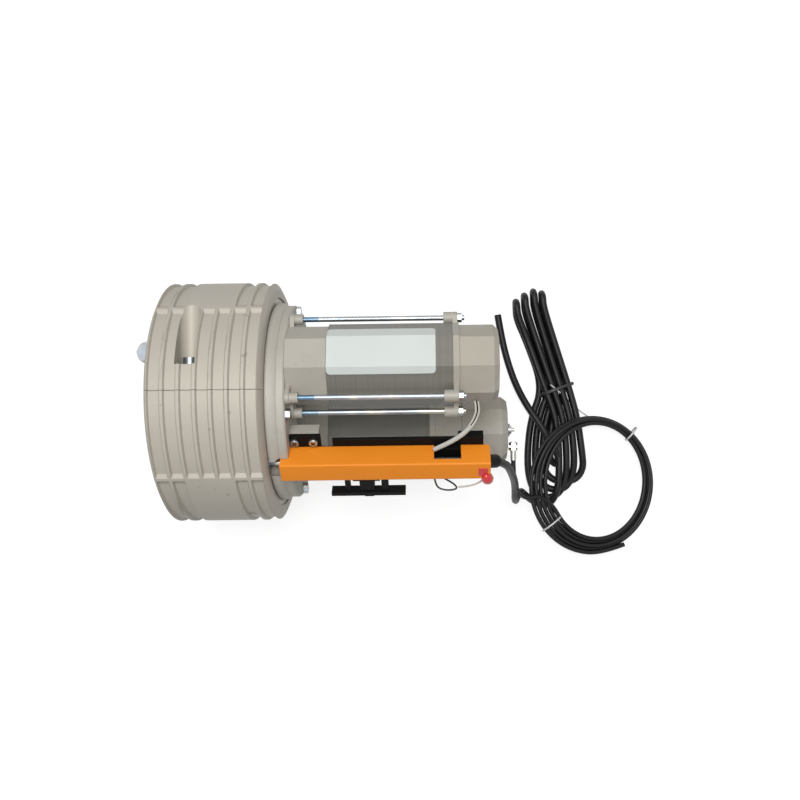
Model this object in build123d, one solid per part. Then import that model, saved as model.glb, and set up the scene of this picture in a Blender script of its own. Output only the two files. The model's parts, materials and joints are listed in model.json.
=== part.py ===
from build123d import *
import os
from math import acos, cos, degrees, hypot, pi, radians, sin, sqrt, tan

# Central drive for a roller shutter: two motors turn a split drum round the shutter's shaft.
# X runs along the shaft from the drum to the motors, Z is up as the unit lies on its drum, and
# the origin is on the shaft's axis in the plane of the drum's left rim. All sizes are in mm.
# Angles round the shaft are given from +Z towards +Y.

# Shaft and its clamp
shaft_r = 30.0            # the shutter's tubular shaft
bore_play = 0.2           # room round the shaft inside the gearbox
hub_r = 40.0              # gearbox hub round the shaft
relief_x, relief_r = (-2.0, -0.5), shaft_r + 1.5  # turned groove between clamp and bore
clamp_w = 22.0            # length of the clamp on the shaft
clamp_wall = 12.0
clamp_split = 1.0         # gap between the clamp's two halves
clamp_ear_y = 46.0        # where the clamp bolt stands beside the shaft
clamp_ear_r = 10.5
clamp_ear_top = 58.0
clamp_lip = 9.0           # hooked side of the cap
clamp_bolt_r = 5.0
clamp_head_r = 9.6
clamp_head_h = 6.5
clamp_washer_r = 11.0
clamp_washer_t = 2.0

# Drum: two equal cast halves
drum_r = 120.0
drum_w = 105.0
drum_turn = 3.0           # lean of the parting plane from upright
drum_inner_r = drum_r - 11.5
parting_gap = 0.3
rim_left_r, rim_left_w = drum_r - 4.3, 2.5
rim_right_r, rim_right_w = drum_r - 8.0, 3.7
groove_count = 7
groove_pitch = 14.5
groove_floor = 9.5
groove_depth = 3.0
groove_slope = 1.0
groove_start = 4.4
groove_end = 90.6         # height over the shaft at which the side grooves run out
groove_ledge = 2.6
belly_grooves = (0, 1, 5, 6)
web_x, web_t = 4.0, 10.0
web_bore_r = 48.0
flange_x, flange_t = 46.0, 5.0
flange_bore_r = 90.0
joint_x = 36.5            # joint screw of the two halves, from the left rim
joint_z = 96.0
pocket_r = 9.5
pocket_floor = 24.0       # depth of the screw's seat over the parting plane
joint_boss_low = 83.0
joint_screw_r = 4.0
joint_head_r, joint_head_h = 6.5, 8.0
joint_screw_in = 20.0     # how far the screw reaches into the other half
slat_hole_x = 79.6
slat_hole_r = 3.4
slat_hole_turn = 74.5     # from the parting plane
screw_play = 0.02

# Main ring gear and the two gear trains
tooth_module = 2.5
ring_teeth = 68
pinion_teeth = 12
ring_w = 18.0
ring_outer_r = tooth_module * ring_teeth / 2 + 15.0
ring_play = 0.25
ring_screw_r, ring_screw_pcr = 3.0, 94.5
fine_module = 1.25
wheel_teeth = 36
rotor_teeth = 10
wheel_w = 10.0
layshaft_r = 6.0
backlash = 0.16           # taken off each tooth flank

# Gearbox body and its cover
neck_play = 0.05          # running fit of the drum on its two slide rings
left_seat_r = 44.0
plate_x, plate_t, plate_r = 38.0, 8.0, 79.0
disc_x = 84.0
disc_r = 96.0
collar_x, collar_r = 104.6, 99.5
body_end = 114.5
cavity_x = 92.0
cover_t = 8.0
cover_r = 97.0
cover_screw_r, cover_screw_pcr = 3.0, 90.6
cover_screw_turns = (-10.0, -100.0, 80.0, 170.0)
cover_boss_r = 5.2
slide_ring_w = 10.0
right_seat_r = disc_r + 4.0

# Motors, one on each side of the shaft
motor_offset = 69.0
motor_lean = 38.0         # direction of a corner of the eight-sided housings
shield_r = 37.0
stator_r = 39.0
bell_r = 37.0
shield_wall = 5.0
bell_wall = 3.2
rotor_r = 22.0
air_gap = 0.5
motor_shaft_r = 7.5
rod_r = 2.5
rod_circle = 45.5
rod_spread = 71.5         # tie rods sit this far round from the outward direction
rod_boss_r = 5.0
bell_ear_r = 5.8
rod_boss_h = 12.5
bell_ear_h = 13.5
nut_r, nut_h = 4.6, 4.2
bearing_r, bearing_w = 17.0, 10.0
# x of the front shield's end, the stator's end, the end bell's end
motor_1 = (161.0, 278.0, 321.0)
motor_2 = (147.0, 254.0, 288.0)
brake_end = 337.0
lever_x, lever_t = 337.6, 3.0
lever_arm = 20.0
lever_pin_r = 4.0
lever_swing = 20.0
bracket_y = -49.0
bracket_t = 2.5
adjuster_r = 3.0
adjuster_y = (-64.0, -44.0)
wire_gap = 2.2            # from the lever's face to the release wire

# Limit switch, built upright and then turned round the shaft to its place
limit_turn = -42.5
limit_r = 90.0            # radius of its lead screw from the shaft
limit_module = 2.0
limit_ring_teeth = 100
limit_pinion_teeth = 10
limit_gear_x, limit_gear_w = 96.8, 6.4
limit_screw_r = 3.2
limit_lead = 1.5
case_x0, case_x1 = 114.9, 312.0
case_half = 10.25
case_low, case_high = 79.4, 105.4
case_wall = 2.2
case_bevel = 1.6
base_t = 2.8
base_fit = 0.15
foot_x1 = 152.0
foot_y = 24.0
lug_y = 9.0
lug_low = 62.0
nut_pair_x = (185.0, 233.0)
limit_nut_r, limit_nut_w = 7.0, 8.0
notch_x = (259.0, 284.5)
notch_high = 98.4
base_screw_x = (127.2, 144.9)
base_screw_y = 16.0
shelf_x, shelf_w = (163.0, 306.0), 8.5
lead_block_x, lead_block_low = (282.0, 306.0), 70.0

# Cords
floor_z = -drum_r
mains_d = 8.0
bowden_d = 5.0
sleeve_d = 6.5


def yz(radius, turn):
    """Y and Z of a point at a radius and a turn round the shaft."""
    return radius * sin(radians(turn)), radius * cos(radians(turn))


def bar(x0, x1, radius, y=0.0, z=0.0):
    """Round bar along X."""
    base = (Align.CENTER, Align.CENTER, Align.MIN)
    return Plane.YZ.offset(x0) * Pos(y, z) * Cylinder(radius, x1 - x0, align=base)


def cross_bar(y0, y1, radius, x, z):
    """Round bar along Y."""
    base = (Align.CENTER, Align.CENTER, Align.MIN)
    return Pos(x, y0, z) * Rot(-90, 0, 0) * Cylinder(radius, y1 - y0, align=base)


def slab(x0, x1, y0, y1, z0, z1):
    """Block given by its two corners."""
    centre = Pos((x0 + x1) / 2, (y0 + y1) / 2, (z0 + z1) / 2)
    return centre * Box(x1 - x0, y1 - y0, z1 - z0)


def pushed(x0, x1, sketch, y=0.0, z=0.0, taper=0.0):
    """Sketch on the YZ plane pushed along X."""
    return extrude(Plane.YZ.offset(x0) * Pos(y, z) * sketch, x1 - x0, taper=taper)


def turned(*points):
    """Solid of revolution round the shaft from x and radius points."""
    return revolve(make_face(Polyline(*points, close=True)), Axis.X, 360)


def tube_along_x(x0, x1, outer, inner, y=0.0, z=0.0):
    return bar(x0, x1, outer, y, z) - bar(x0 - 1, x1 + 1, inner, y, z)


def round_shaft(turn, shape):
    """Turn a shape built upright to its place round the shaft."""
    return Rot(-turn, 0, 0) * shape


def involute(angle):
    return tan(angle) - angle


def tooth_half(module, teeth, radius, thin):
    """Half the angle that a tooth fills at a radius."""
    pitch_r = module * teeth / 2
    base_r = pitch_r * cos(radians(20))
    at = acos(min(1.0, base_r / radius))
    return pi / 2 / teeth - thin / pitch_r + involute(radians(20)) - involute(at)


def gear_face(module, teeth, root_r, tip_r, thin, turn=0.0):
    """Toothed outline with one tooth at the given turn from +Z towards +Y."""
    pitch_r = module * teeth / 2
    first = radians(90 - turn)
    radii = (root_r, pitch_r, tip_r)
    outline = []
    for k in range(teeth):
        middle = first + 2 * pi * k / teeth
        rising = [(r, middle - tooth_half(module, teeth, r, thin)) for r in radii]
        falling = [(r, middle + tooth_half(module, teeth, r, thin)) for r in reversed(radii)]
        outline += [(r * cos(a), r * sin(a)) for r, a in rising + falling]
    return make_face(Polyline(*outline, close=True))


def pinion_face(module, teeth, turn=0.0, addendum=0.9, dedendum=1.15):
    pitch_r = module * teeth / 2
    return gear_face(module, teeth, pitch_r - dedendum * module, pitch_r + addendum * module,
                     backlash, turn)


def ring_space_face(module, teeth, turn=0.0, addendum=0.9, dedendum=1.2):
    """Opening of an internal gear, with one tooth space at the given turn."""
    pitch_r = module * teeth / 2
    return gear_face(module, teeth, pitch_r - addendum * module, pitch_r + dedendum * module,
                     -backlash, turn)


ring_pitch_r = tooth_module * ring_teeth / 2
pinion_pitch_r = tooth_module * pinion_teeth / 2
layshaft_offset = ring_pitch_r - pinion_pitch_r
mesh = fine_module * (wheel_teeth + rotor_teeth) / 2
ring_x0 = flange_x + flange_t
ring_x1 = ring_x0 + ring_w
train_turn = drum_turn
mesh_swing = degrees(acos((motor_offset**2 + layshaft_offset**2 - mesh**2)
                          / (2 * motor_offset * layshaft_offset)))
motor_turn = train_turn + mesh_swing
wheel_x0 = cavity_x + 2.5
wheel_x1 = wheel_x0 + wheel_w
cover_x1 = body_end + cover_t
motor_y, motor_z = yz(motor_offset, motor_turn)
lay_y, lay_z = yz(layshaft_offset, train_turn)


def groove_ring(index):
    """Ring-shaped cutter for one groove, wider at the mouth than at the floor."""
    x0 = groove_start + groove_pitch * index
    x1 = x0 + groove_floor
    floor_r = drum_r - groove_depth
    over = groove_slope / groove_depth
    return turned((x0, floor_r), (x1, floor_r), (x1 + groove_slope + over, drum_r + 1),
                  (x0 - groove_slope - over, drum_r + 1))


def drum_blank():
    in_r, seat_x = drum_inner_r, disc_x + 1.0
    limit_seat_r = limit_module * limit_ring_teeth / 2 + 5.0
    return turned(
        (0, rim_left_r), (rim_left_w, drum_r), (drum_w - rim_right_w, drum_r),
        (drum_w, rim_right_r), (drum_w, limit_seat_r), (seat_x + 11.0, limit_seat_r),
        (seat_x + 11.0, right_seat_r), (seat_x, right_seat_r), (seat_x, in_r), (ring_x1, in_r),
        (ring_x1, ring_outer_r + ring_play), (ring_x0, ring_outer_r + ring_play),
        (ring_x0, flange_bore_r), (flange_x, flange_bore_r), (flange_x, in_r),
        (web_x + web_t, in_r), (web_x + web_t, web_bore_r), (web_x, web_bore_r),
        (web_x, in_r + 2.5), (0, in_r + 2.5))


def drum_halves():
    """Both halves; the second is the first turned half a turn round the shaft."""
    blank = drum_blank()
    far = drum_r + 5
    sides = slab(-5, drum_w + 5, -far, far, groove_end, far)
    sides += slab(-5, drum_w + 5, -far, far, -far, -groove_end)
    belly_z = groove_end - groove_ledge
    belly = slab(-5, drum_w + 5, -far, far, -belly_z, belly_z)
    for index in range(groove_count):
        ring = groove_ring(index)
        blank -= ring & sides
        if index in belly_grooves:
            blank -= ring & belly
    half = blank & slab(-5, drum_w + 5, parting_gap / 2, far, -far, far)
    # bosses on the inside for the joint screws, at both parting edges
    boss = slab(joint_x - 12.5, joint_x + 12.5, parting_gap / 2, 72, joint_boss_low, drum_inner_r)
    nut_boss = slab(joint_x - 12.5, joint_x + 12.5, parting_gap / 2, 30,
                    -drum_inner_r, -joint_boss_low)
    inside = bar(web_x + web_t - 1, ring_x0, drum_inner_r + 1)
    half += (boss + nut_boss) & inside
    pocket = Pos(joint_x, pocket_floor, joint_z) * Rot(-90, 0, 0) * Cylinder(
        pocket_r, far, align=(Align.CENTER, Align.CENTER, Align.MIN))
    pocket += slab(joint_x - pocket_r, joint_x + pocket_r, pocket_floor, far, joint_z, far)
    half -= pocket
    half -= cross_bar(-1, far, joint_screw_r + 0.4, joint_x, joint_z)
    half -= cross_bar(-1, joint_screw_in + 4, joint_screw_r + screw_play, joint_x, -joint_z)
    for turn in (slat_hole_turn, 180 - slat_hole_turn):
        half -= round_shaft(turn, Pos(slat_hole_x, 0, drum_inner_r - 6) * Cylinder(
            slat_hole_r, 30, align=(Align.CENTER, Align.CENTER, Align.MIN)))
    half -= ring_screw_holes()
    return round_shaft(drum_turn, half), round_shaft(drum_turn + 180, half)


def drum_joint_screws():
    screw = cross_bar(-joint_screw_in, pocket_floor, joint_screw_r, joint_x, joint_z)
    head = cross_bar(pocket_floor, pocket_floor + joint_head_h, joint_head_r, joint_x, joint_z)
    socket = Pos(joint_x, pocket_floor + joint_head_h, joint_z) * Rot(90, 0, 0) * extrude(
        RegularPolygon(3.4, 6), 4.5)
    screw = screw + head - socket
    return Compound([round_shaft(drum_turn, screw), round_shaft(drum_turn + 180, screw)])


ring_screw_turns = (30, 90, 150)


def ring_screw_holes():
    holes = Part()
    for turn in ring_screw_turns:
        y, z = yz(ring_screw_pcr, turn)
        holes += bar(flange_x - 1, ring_x1 + 1, ring_screw_r + screw_play, y, z)
    return holes


def ring_gear_halves():
    blank = bar(ring_x0, ring_x1, ring_outer_r)
    blank -= pushed(ring_x0 - 1, ring_x1 + 1, ring_space_face(tooth_module, ring_teeth))
    far = ring_outer_r + 5
    half = blank & slab(ring_x0 - 1, ring_x1 + 1, parting_gap / 2, far, -far, far)
    half -= ring_screw_holes()
    return round_shaft(drum_turn, half), round_shaft(drum_turn + 180, half)


def ring_gear_screws():
    screws = []
    for side in (0, 180):
        for turn in ring_screw_turns:
            y, z = yz(ring_screw_pcr, turn + drum_turn + side)
            screw = bar(flange_x + 0.5, ring_x1, ring_screw_r, y, z)
            screw += bar(ring_x1, ring_x1 + 5, 5.0, y, z)
            screws.append(screw - pushed(ring_x1 + 2, ring_x1 + 6, RegularPolygon(2.8, 6), y, z))
    return Compound(screws)


def limit_ring():
    """Toothed ring in the drum's right rim that turns the limit switch."""
    outer = limit_module * limit_ring_teeth / 2 + 4.95
    ring = bar(limit_gear_x, limit_gear_x + limit_gear_w, outer)
    face = ring_space_face(limit_module, limit_ring_teeth, limit_turn, addendum=0.85)
    return ring - pushed(limit_gear_x - 1, limit_gear_x + limit_gear_w + 1, face)


def gearbox_body():
    bore = shaft_r + bore_play
    body = turned(
        (relief_x[1], bore), (relief_x[1], relief_r), (relief_x[0], relief_r),
        (relief_x[0], left_seat_r), (16, left_seat_r), (16, left_seat_r + 3),
        (20, left_seat_r + 3), (20, hub_r), (plate_x, hub_r), (plate_x, plate_r),
        (plate_x + plate_t, plate_r), (plate_x + plate_t, hub_r), (disc_x, hub_r),
        (disc_x, disc_r), (collar_x, disc_r), (collar_x, collar_r), (body_end - 5, collar_r),
        (body_end, collar_r - 3), (body_end, bore))
    body += clamp_seat()
    # gear cavities, open to the cover
    for side in (0, 180):
        y, z = yz(layshaft_offset, train_turn + side)
        body -= bar(cavity_x, body_end + 1, fine_module * wheel_teeth / 2 + 2.2, y, z)
        body -= bar(plate_x - 1, body_end + 1, layshaft_r + 0.05, y, z)
        y, z = yz(motor_offset, motor_turn + side)
        body -= bar(cavity_x, body_end + 1, fine_module * rotor_teeth / 2 + 3.0, y, z)
    y, z = yz(limit_r, limit_turn)
    body -= bar(disc_x + 11.0, body_end + 1, limit_module * limit_pinion_teeth / 2 + 2.6, y, z)
    # windows in the bearing plate between the two layshafts
    for turn in (57, 93, 129, 237, 273, 309):
        y, z = yz((hub_r + plate_r) / 2 + 1, turn)
        body -= bar(plate_x - 1, plate_x + plate_t + 1, 13.0, y, z)
    for turn in cover_screw_turns:
        y, z = yz(cover_screw_pcr, turn)
        body -= bar(body_end - 14, body_end + 1, cover_screw_r + screw_play, y, z)
    return body


def clamp_half(sign):
    """Half of the split clamp; +1 is the upper one."""
    outer = shaft_r + clamp_wall
    x0, x1 = -2 - clamp_w, -2.0
    gap = clamp_split / 2
    z0, z1 = (gap, outer + 1) if sign > 0 else (-outer - 1, -gap)
    ring = tube_along_x(x0, x1, outer, shaft_r)
    return ring & slab(x0 - 1, x1 + 1, -outer - 1, outer + 1, z0, z1)


clamp_x = -2 - clamp_w / 2
up = (Align.CENTER, Align.CENTER, Align.MIN)


def clamp_seat():
    """Lower clamp half, cast with the hub: threaded ear on one side, hooked lip on the other."""
    seat = clamp_half(-1)
    ear = Pos(clamp_x, clamp_ear_y, -20) * Cylinder(clamp_ear_r, 20 - clamp_split / 2, align=up)
    ear += slab(-2 - clamp_w, -2, shaft_r + 1, clamp_ear_y, -20, -clamp_split / 2)
    outer = shaft_r + clamp_wall
    lip = slab(-2 - clamp_w, -2, -outer - clamp_lip, -shaft_r - 1, -12, -clamp_split / 2)
    lip += slab(-2 - clamp_w, -2, -outer - clamp_lip, -outer - clamp_lip + 4, -3, 9)
    seat += ear + lip
    seat -= Pos(clamp_x, clamp_ear_y, -21) * Cylinder(clamp_bolt_r + screw_play, 25, align=up)
    seat -= bar(-30, 0, shaft_r)
    return seat


def shaft_clamp_cap():
    cap = clamp_half(1)
    ear = Pos(clamp_x, clamp_ear_y, clamp_split / 2) * Cylinder(
        clamp_ear_r, clamp_ear_top - clamp_split / 2, align=up)
    ear += slab(-1 - clamp_w, -3, shaft_r + 3, clamp_ear_y, clamp_split / 2, 26)
    outer = shaft_r + clamp_wall
    toe = slab(-2 - clamp_w, -2, -outer - clamp_lip + 4.3, -shaft_r - 2, clamp_split / 2, 8)
    cap += ear + toe
    cap -= Pos(clamp_x, clamp_ear_y, -1) * Cylinder(clamp_bolt_r + 0.4, 100, align=up)
    cap -= bar(-30, 0, shaft_r)
    return cap


def clamp_bolt():
    head_z = clamp_ear_top + clamp_washer_t
    bolt = Pos(clamp_x, clamp_ear_y, -18) * Cylinder(clamp_bolt_r, head_z + 18, align=up)
    bolt += Pos(clamp_x, clamp_ear_y, head_z) * extrude(RegularPolygon(clamp_head_r, 6), clamp_head_h)
    return bolt


def clamp_washer():
    washer = Pos(clamp_x, clamp_ear_y, clamp_ear_top) * Cylinder(
        clamp_washer_r, clamp_washer_t, align=up)
    return washer - Pos(clamp_x, clamp_ear_y, 0) * Cylinder(clamp_bolt_r + 0.4, 99, align=up)


def gearbox_cover():
    cover = bar(body_end, cover_x1, cover_r)
    cover = chamfer(cover.edges().group_by(Axis.X)[-1], 1.5)
    cover -= bar(body_end - 1, cover_x1 + 1, shaft_r + bore_play)
    for side in (0, 180):
        y, z = yz(motor_offset, motor_turn + side)
        cover -= bar(body_end - 1, cover_x1 + 1, motor_shaft_r + 1.0, y, z)
        y, z = yz(layshaft_offset, train_turn + side)
        cover -= bar(body_end - 1, body_end + 5, layshaft_r + 0.05, y, z)
    for turn in cover_screw_turns:
        y, z = yz(cover_screw_pcr, turn)
        cover -= bar(body_end - 1, cover_x1 + 2, cover_screw_r + 0.3, y, z)
    y, z = yz(limit_r, limit_turn)
    cover -= bar(body_end - 1, cover_x1 + 2, limit_screw_r + 1.0, y, z)
    lug = slab(cover_x1 - 1, foot_x1 - 2, lug_y, foot_y - 1, lug_low, case_low - 3.2)
    for x in base_screw_x:
        lug -= Pos(x, base_screw_y, lug_low + 2) * Cylinder(2.5 + screw_play, 40, align=up)
    recess = slab(case_x0 - 0.4, cover_x1 + 2, -case_half - 0.4, case_half + 0.4,
                  case_low - 3.6, cover_r + 9)
    return cover - round_shaft(limit_turn, recess) + round_shaft(limit_turn, lug)


def cover_screws():
    screws = []
    for turn in cover_screw_turns:
        y, z = yz(cover_screw_pcr, turn)
        screw = bar(body_end - 12, cover_x1, cover_screw_r, y, z)
        screws.append(screw + pushed(cover_x1, cover_x1 + 4.5, RegularPolygon(5.6, 6), y, z))
    return Compound(screws)


def slide_ring_left():
    ring = tube_along_x(web_x, web_x + web_t, web_bore_r - neck_play, left_seat_r)
    return ring


def slide_ring_right():
    return tube_along_x(disc_x + 1, disc_x + 1 + slide_ring_w, right_seat_r - neck_play, disc_r)


def layshaft(side):
    """Wheel and pinion on one shaft between a rotor and the ring gear."""
    turn = train_turn + side
    y, z = yz(layshaft_offset, turn)
    shaft = bar(plate_x, body_end + 4.5, layshaft_r, y, z)
    shaft += pushed(ring_x0 + 0.5, ring_x1 - 0.5, pinion_face(tooth_module, pinion_teeth, turn), y, z)
    face = pinion_face(fine_module, wheel_teeth, mesh_direction(side), addendum=0.85)
    shaft += pushed(wheel_x0, wheel_x1, face, y, z)
    return shaft


def mesh_direction(side):
    """Turn of the line from a layshaft to its rotor."""
    y = motor_y - lay_y
    z = motor_z - lay_z
    return degrees(pi / 2 - atan2_of(z, y)) + side


def atan2_of(z, y):
    angle = acos(y / hypot(y, z))
    return angle if z >= 0 else -angle


def rotor(side, stator_x0, stator_x1, shaft_x1):
    """Rotor core on its shaft, with the first pinion cut on the shaft's end."""
    turn = motor_turn + side
    y, z = yz(motor_offset, turn)
    gap_turn = mesh_direction(side) + 180 + 180 / rotor_teeth
    shaft = pushed(wheel_x0 - 0.5, wheel_x1 + 0.5, pinion_face(fine_module, rotor_teeth, gap_turn), y, z)
    shaft += bar(wheel_x1 + 0.5, shaft_x1, motor_shaft_r, y, z)
    shaft += bar(stator_x0 + 12, stator_x1 - 12, rotor_r - air_gap, y, z)
    return shaft


def octagon(radius):
    return RegularPolygon(radius, 8, rotation=90 - motor_lean)


def rod_places():
    """Y and Z of the tie rods of motor 1, from its own axis."""
    spread = (rod_spread, -rod_spread, 180 - rod_spread, rod_spread - 180)
    return [yz(rod_circle, motor_turn + turn) for turn in spread]


def ear_face(radius, reach):
    """Ear from the housing out to each tie rod."""
    ears = Sketch()
    for y, z in rod_places():
        length = hypot(y, z)
        near = 1 - reach / length
        middle = Pos(y * (1 + near) / 2, z * (1 + near) / 2)
        angle = degrees(atan2_of(z, y))
        ears += middle * Rot(0, 0, angle) * SlotCenterToCenter(reach, 2 * radius)
    return ears


def motor_bores(x0, x1):
    holes = Part()
    for y, z in rod_places():
        holes += bar(x0, x1, rod_r + 0.15, y, z)
    return Pos(0, motor_y, motor_z) * holes


def front_shield(x1):
    """Cast housing that carries the stator on the gearbox cover."""
    shield = pushed(cover_x1, x1, octagon(shield_r))
    shield += pushed(cover_x1, cover_x1 + 4.5, ear_face(rod_boss_r + 0.6, 16))
    for y, z in rod_places():
        shield += bar(cover_x1, cover_x1 + rod_boss_h, rod_boss_r, y, z)
    shield -= bar(cover_x1 + bearing_w + 2, x1 + 1, shield_r - shield_wall)
    shield -= bar(cover_x1 + 2, x1, bearing_r)
    shield -= bar(cover_x1 - 1, x1, motor_shaft_r + 1.0)
    return Pos(0, motor_y, motor_z) * shield - motor_bores(cover_x1 + 1, cover_x1 + 20)


def stator(x0, x1):
    core = pushed(x0, x1, octagon(stator_r)) - bar(x0 - 1, x1 + 1, rotor_r)
    return Pos(0, motor_y, motor_z) * core


def windings(x0, x1):
    """Coil heads that stand out of both ends of the stator core."""
    inner = shield_r - shield_wall - 1.0
    heads = [tube_along_x(x0 - 9, x0, inner, rotor_r + 1.5),
             tube_along_x(x1, x1 + 9, inner - 1, rotor_r + 1.5)]
    return Compound([Pos(0, motor_y, motor_z) * head for head in heads])


def end_bell(x0, x1, bearing_x, open_end=False):
    """Cast end shield with four ears that take the tie rods."""
    flange_x1 = x0 + 6
    bell = pushed(x0, flange_x1, octagon(stator_r))
    bell += pushed(flange_x1, x1 - 5, octagon(bell_r))
    bell += pushed(x1 - 5, x1, octagon(bell_r), taper=40 if not open_end else 0)
    bell += pushed(x0 + 0.1, x0 + 5, ear_face(bell_ear_r, 12))
    for y, z in rod_places():
        bell += bar(x0 - bell_ear_h + 5, x0 + 5, bell_ear_r, y, z)
    bell -= bar(x0 - 1, bearing_x, bell_r - bell_wall - 2.0)
    bell -= bar(x0 - 1, bearing_x + bearing_w, bearing_r)
    if open_end:
        bell -= bar(x0 - 1, x1 + 1, motor_shaft_r + 1.0)
    return Pos(0, motor_y, motor_z) * bell - motor_bores(x0 - bell_ear_h, x0 + 6)


def tie_rods(stator_x1):
    rods = [bar(cover_x1 + 3, stator_x1 + 5 + nut_h + 2.5, rod_r, y, z) for y, z in rod_places()]
    return Pos(0, motor_y, motor_z) * Compound(rods)


def tie_nuts(stator_x1):
    x0 = stator_x1 + 5
    nuts = [pushed(x0, x0 + nut_h, RegularPolygon(nut_r, 6) - Circle(rod_r + screw_play), y, z)
            for y, z in rod_places()]
    return Pos(0, motor_y, motor_z) * Compound(nuts)


def bearing(x0):
    ring = tube_along_x(x0, x0 + bearing_w, bearing_r - 0.02, motor_shaft_r + 0.05)
    return Pos(0, motor_y, motor_z) * ring


def other_side(shape):
    """The second motor is the first turned half a turn round the shaft."""
    return Rot(180, 0, 0) * shape


def brake_cover():
    x0, x1 = motor_2[2] + 0.4, brake_end
    cover = pushed(x0, x1 - 6, octagon(bell_r - 1.0)) + pushed(x1 - 6, x1, octagon(bell_r - 1.0), taper=35)
    cover -= bar(x0 - 1, x1 - 5, bell_r - 6.5)
    cover -= bar(x1 - 6, x1 + 1, lever_pin_r + 0.05)
    return Pos(0, motor_y, motor_z) * cover


def brake_coil():
    x0 = brake_end - 5 - 16
    coil = tube_along_x(x0, brake_end - 5, bell_r - 8, 11)
    return Pos(0, motor_y, motor_z) * coil


def brake_armature():
    x1 = brake_end - 5 - 16 - 1.2
    plate = tube_along_x(x1 - 4, x1, bell_r - 9, 10)
    return Pos(0, motor_y, motor_z) * plate


def brake_disc():
    x1 = brake_end - 5 - 16 - 1.2 - 4 - 0.3
    disc = tube_along_x(x1 - 6, x1, bell_r - 10, motor_shaft_r + screw_play)
    return Pos(0, motor_y, motor_z) * disc


def limit_case():
    """Orange cover: a long channel, open towards the shaft, with a notch for the leads."""
    case = slab(case_x0, case_x1, -case_half, case_half, case_low, case_high)
    case = fillet(case.edges().filter_by(Axis.X).group_by(Axis.Z)[-1], case_bevel)
    case -= slab(case_x0 + case_wall, case_x1 - case_wall, -case_half + case_wall,
                 case_half - case_wall, case_low - 1, case_high - case_wall)
    case -= slab(*notch_x, case_half - case_wall - 1, case_half + 1, case_low - 1, notch_high)
    case -= bar(case_x0 - 1, case_x0 + 5, limit_screw_r + 1.5, 0, limit_r)
    for x0, x1 in lock_legs:
        case -= slab(x0 - 0.4, x1 + 0.4, -case_half - 1, -case_half + case_wall + 1,
                     lock_leg_z[0] - 0.4, lock_leg_z[1] + 0.4)
    return round_shaft(limit_turn, case)


lock_bar_x = (160.0, 231.2)
lock_legs = ((173.6, 178.8), (208.4, 215.0))
lock_leg_z = (96.0, 101.0)
lock_bar_z = (93.0, 103.0)
lock_bar_y = (-33.0, -29.0)
lock_travel = 3.5


def limit_base():
    """Black carrier: floor, end walls for the lead screw and a foot beside the case."""
    inner = case_half - case_wall - base_fit
    x0, x1 = case_x0 + case_wall + base_fit, case_x1 - case_wall - base_fit
    base = slab(x0, x1, -inner, inner, case_low, case_low + base_t)
    for wall in (x0, 292.0, x1 - 3):
        base += slab(wall, wall + 3, -inner, inner, case_low, case_high - case_wall - 0.5)
    base += slab(cover_x1 + 0.3, foot_x1, -case_half, foot_y, case_low - 3.2, case_low - 0.1)
    base += slab(cover_x1 + 0.3, x1 - 5, -inner, inner, case_low - 3.2, case_low)
    shelf_x0, shelf_x1 = shelf_x
    shelf_y = case_half + shelf_w
    base += slab(shelf_x0, shelf_x1, -inner, shelf_y, case_low - 3.2, case_low - 0.1)
    base += slab(*lead_block_x, case_half + 1.5, shelf_y + 1, lead_block_low, case_low - 0.1)
    base -= bar(x0 - 1, x0 + 5, limit_screw_r + 0.05, 0, limit_r)
    base -= bar(291, 296, limit_screw_r + 0.05, 0, limit_r)
    for x in base_screw_x:
        base -= Pos(x, base_screw_y, case_low - 5) * Cylinder(2.7, 10, align=up)
    return round_shaft(limit_turn, base)


def base_screws():
    screws = []
    for x in base_screw_x:
        screw = Pos(x, base_screw_y, lug_low + 6) * Cylinder(2.5, case_low - 0.1 - lug_low - 6, align=up)
        head = Pos(x, base_screw_y, case_low - 0.1) * Cylinder(4.3, 3.0, align=up)
        head = fillet(head.edges().group_by(Axis.Z)[-1], 1.0)
        screws.append(round_shaft(limit_turn, screw + head))
    return Compound(screws)


def limit_screw():
    """Lead screw with the pinion that the drum's toothed ring drives."""
    face = pinion_face(limit_module, limit_pinion_teeth, 0.0)
    screw = pushed(limit_gear_x, limit_gear_x + limit_gear_w, face, 0, limit_r)
    screw += bar(limit_gear_x + limit_gear_w, 298.0, limit_screw_r, 0, limit_r)
    return round_shaft(limit_turn, screw)


def limit_nut(x):
    """Cam nut with finger notches; the lock bar keeps it from turning."""
    face = Circle(limit_nut_r)
    for k in range(12):
        face -= Rot(0, 0, 30 * k + 15) * Pos(limit_nut_r, 0) * Circle(0.8)
    face -= Circle(limit_screw_r + 0.08)
    nut = pushed(x - limit_nut_w / 2, x + limit_nut_w / 2, face, 0, limit_r)
    return round_shaft(limit_turn, nut)


def limit_switches():
    """Two small snap-action switches with their plungers."""
    x0 = case_x0 + case_wall + base_fit + 3
    left = slab(x0, x0 + 25, -6, 6, 94, 102) + bar(x0 + 25, x0 + 28, 1.4, 0, 96)
    right = slab(270, 292, -6, 6, 94, 102) + bar(268.2, 270, 1.4, 0, 96)
    return Compound([round_shaft(limit_turn, s) for s in (left, right)])


def lock_guide():
    """Guide block of the lock bar on the side of the case."""
    guide = slab(181.6, 207.4, -case_half - 3, -case_half, 93, 103)
    guide += slab(187.8, 201.7, -25, -case_half - 1, 93, 103)
    return round_shaft(limit_turn, guide)


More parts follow.
